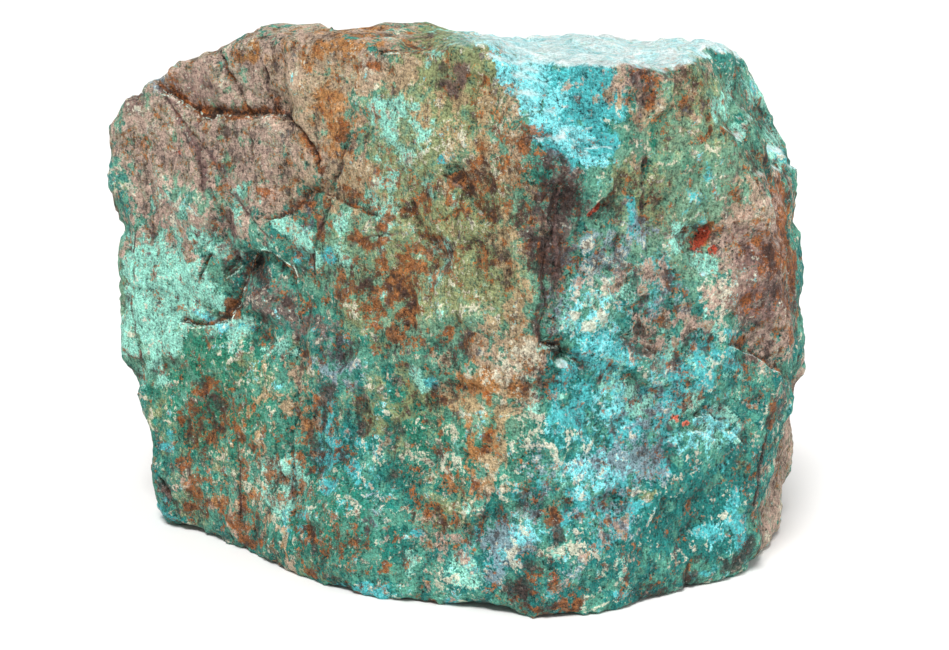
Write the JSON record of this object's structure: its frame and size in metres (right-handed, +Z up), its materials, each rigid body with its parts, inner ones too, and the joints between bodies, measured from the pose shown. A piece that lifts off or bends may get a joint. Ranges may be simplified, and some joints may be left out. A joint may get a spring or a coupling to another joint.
{
  "type": "raw turquoise nugget",
  "caption": "Rough broken block of turquoise and brown host rock with two big front faces, ledges and a scooped top corner, resting on its flattest break.",
  "frame": {"origin": "on the surface it stands on, under the middle of the stone's box", "axes": "+Z up, +X along the widest way across, and the corner between the two big front faces points to -Y"},
  "size_m": [0.1196, 0.0906, 0.0879],
  "materials": {
    "turquoise_rock": "rough dry broken rock, blue-green turquoise with tan and rust-brown host rock"
  },
  "bodies": {
    "root": {"nugget": "turquoise_rock"}
  },
  "joints": []
}
